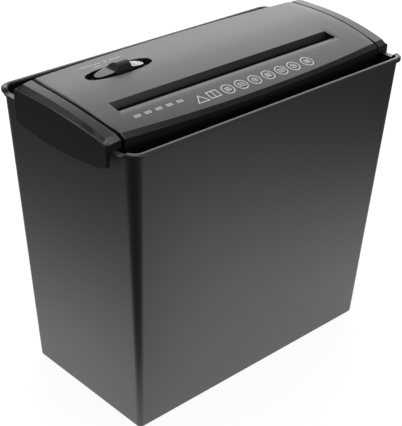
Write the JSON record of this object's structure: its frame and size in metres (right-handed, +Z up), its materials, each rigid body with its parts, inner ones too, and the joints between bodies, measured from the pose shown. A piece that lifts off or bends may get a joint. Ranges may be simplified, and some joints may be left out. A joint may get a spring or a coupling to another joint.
{
  "type": "paper shredder",
  "caption": "Strip-cut desk-side paper shredder: crowned cutting head with end caps resting in a tapered rectangular waste bin.",
  "frame": {"origin": "middle of the bin's base, on the floor", "axes": "+X along the paper slot towards the drive end, +Y towards the back, +Z up"},
  "size_m": [0.288, 0.1556, 0.261],
  "materials": {
    "bin_plastic": "satin moulded",
    "cover_plastic": "satin moulded",
    "cap_plastic": "satin moulded",
    "slider_plastic": "fine texture",
    "housing_plastic": "moulded",
    "comb_plastic": "moulded",
    "switch_plastic": "moulded",
    "acetal": "natural, low friction",
    "relay_plastic": "moulded",
    "capacitor_plastic": "moulded",
    "board_laminate": "lacquered",
    "screw_steel": "zinc plated",
    "bright_steel": "ground",
    "plated_steel": "zinc plated",
    "cutter_steel": "hardened, oiled",
    "spring_steel": "phosphated",
    "laminated_steel": "varnished",
    "ferrite": "sintered",
    "sintered_bronze": "oil filled",
    "pinion_brass": "machined"
  },
  "bodies": {
    "bin": {"waste_bin": "bin_plastic"},
    "head": {"top_cover": "cover_plastic", "left_end_cap": "cap_plastic", "right_end_cap": "cap_plastic", "lower_housing": "housing_plastic", "housing_screws": "screw_steel", "cap_screws": "screw_steel", "paper_chute": "housing_plastic", "sensor_pin": "bright_steel", "sensor_switch": "switch_plastic", "left_frame_plate": "plated_steel", "right_frame_plate": "plated_steel", "tie_rods": "bright_steel", "cutter_bushes": "sintered_bronze", "front_stripper_comb": "comb_plastic", "rear_stripper_comb": "comb_plastic", "gear_axles": "bright_steel", "gear_cover": "comb_plastic", "gear_cover_screws": "screw_steel", "motor_can": "plated_steel", "motor_magnets": "ferrite", "motor_end_bell": "switch_plastic", "motor_screws": "screw_steel", "thermal_cutout": "switch_plastic", "circuit_board": "board_laminate", "power_relay": "relay_plastic", "noise_capacitor": "capacitor_plastic", "rectifier": "switch_plastic", "board_screws": "screw_steel", "mode_switch": "switch_plastic", "switch_screws": "screw_steel"},
    "slider": {"mode_slider": "slider_plastic"},
    "sensor_lever": {"sensor_lever": "acetal"},
    "front_cutter": {"front_cutter": "cutter_steel", "front_shaft_clip": "spring_steel", "front_sync_gear": "acetal"},
    "rear_cutter": {"rear_cutter": "cutter_steel", "rear_shaft_clips": "spring_steel", "rear_sync_gear": "acetal", "output_gear": "acetal"},
    "first_gear": {"first_gear": "acetal"},
    "second_gear": {"second_gear": "acetal"},
    "rotor": {"motor_armature": "laminated_steel", "motor_pinion": "pinion_brass"}
  },
  "joints": [
    {"name": "head_lift", "type": "slide", "parent": "bin", "child": "head", "axis": [0, 0, 1], "range_m": [0, 0.09]},
    {"name": "mode_slide", "type": "slide", "parent": "head", "child": "slider", "axis": [1, 0, 0], "range_m": [-0.0065, 0.0065]},
    {"name": "motor_spin", "type": "hinge", "parent": "head", "child": "rotor", "pos_m": [0, 0.026, 0.208], "axis": [1, 0, 0], "continuous": true},
    {"name": "first_gear_spin", "type": "hinge", "parent": "head", "child": "first_gear", "pos_m": [0, 0.02476, 0.22546], "axis": [1, 0, 0], "continuous": true},
    {"name": "second_gear_spin", "type": "hinge", "parent": "head", "child": "second_gear", "pos_m": [0, 0.00181, 0.22806], "axis": [1, 0, 0], "continuous": true},
    {"name": "rear_cutter_spin", "type": "hinge", "parent": "head", "child": "rear_cutter", "pos_m": [0, -0.0167, 0.206], "axis": [1, 0, 0], "continuous": true},
    {"name": "front_cutter_spin", "type": "hinge", "parent": "head", "child": "front_cutter", "pos_m": [0, -0.0377, 0.206], "axis": [1, 0, 0], "continuous": true},
    {"name": "sensor_tilt", "type": "hinge", "parent": "head", "child": "sensor_lever", "pos_m": [0, -0.018, 0.236], "axis": [1, 0, 0], "range_deg": [0, 25], "stiffness_Nm_per_rad": 0.002}
  ],
  "couplings": [
    {"joint": "front_cutter_spin", "follows": "rear_cutter_spin", "ratio": -1},
    {"joint": "second_gear_spin", "follows": "rear_cutter_spin", "ratio": -3.5714},
    {"joint": "first_gear_spin", "follows": "rear_cutter_spin", "ratio": 13.265},
    {"joint": "motor_spin", "follows": "rear_cutter_spin", "ratio": -53.061}
  ]
}
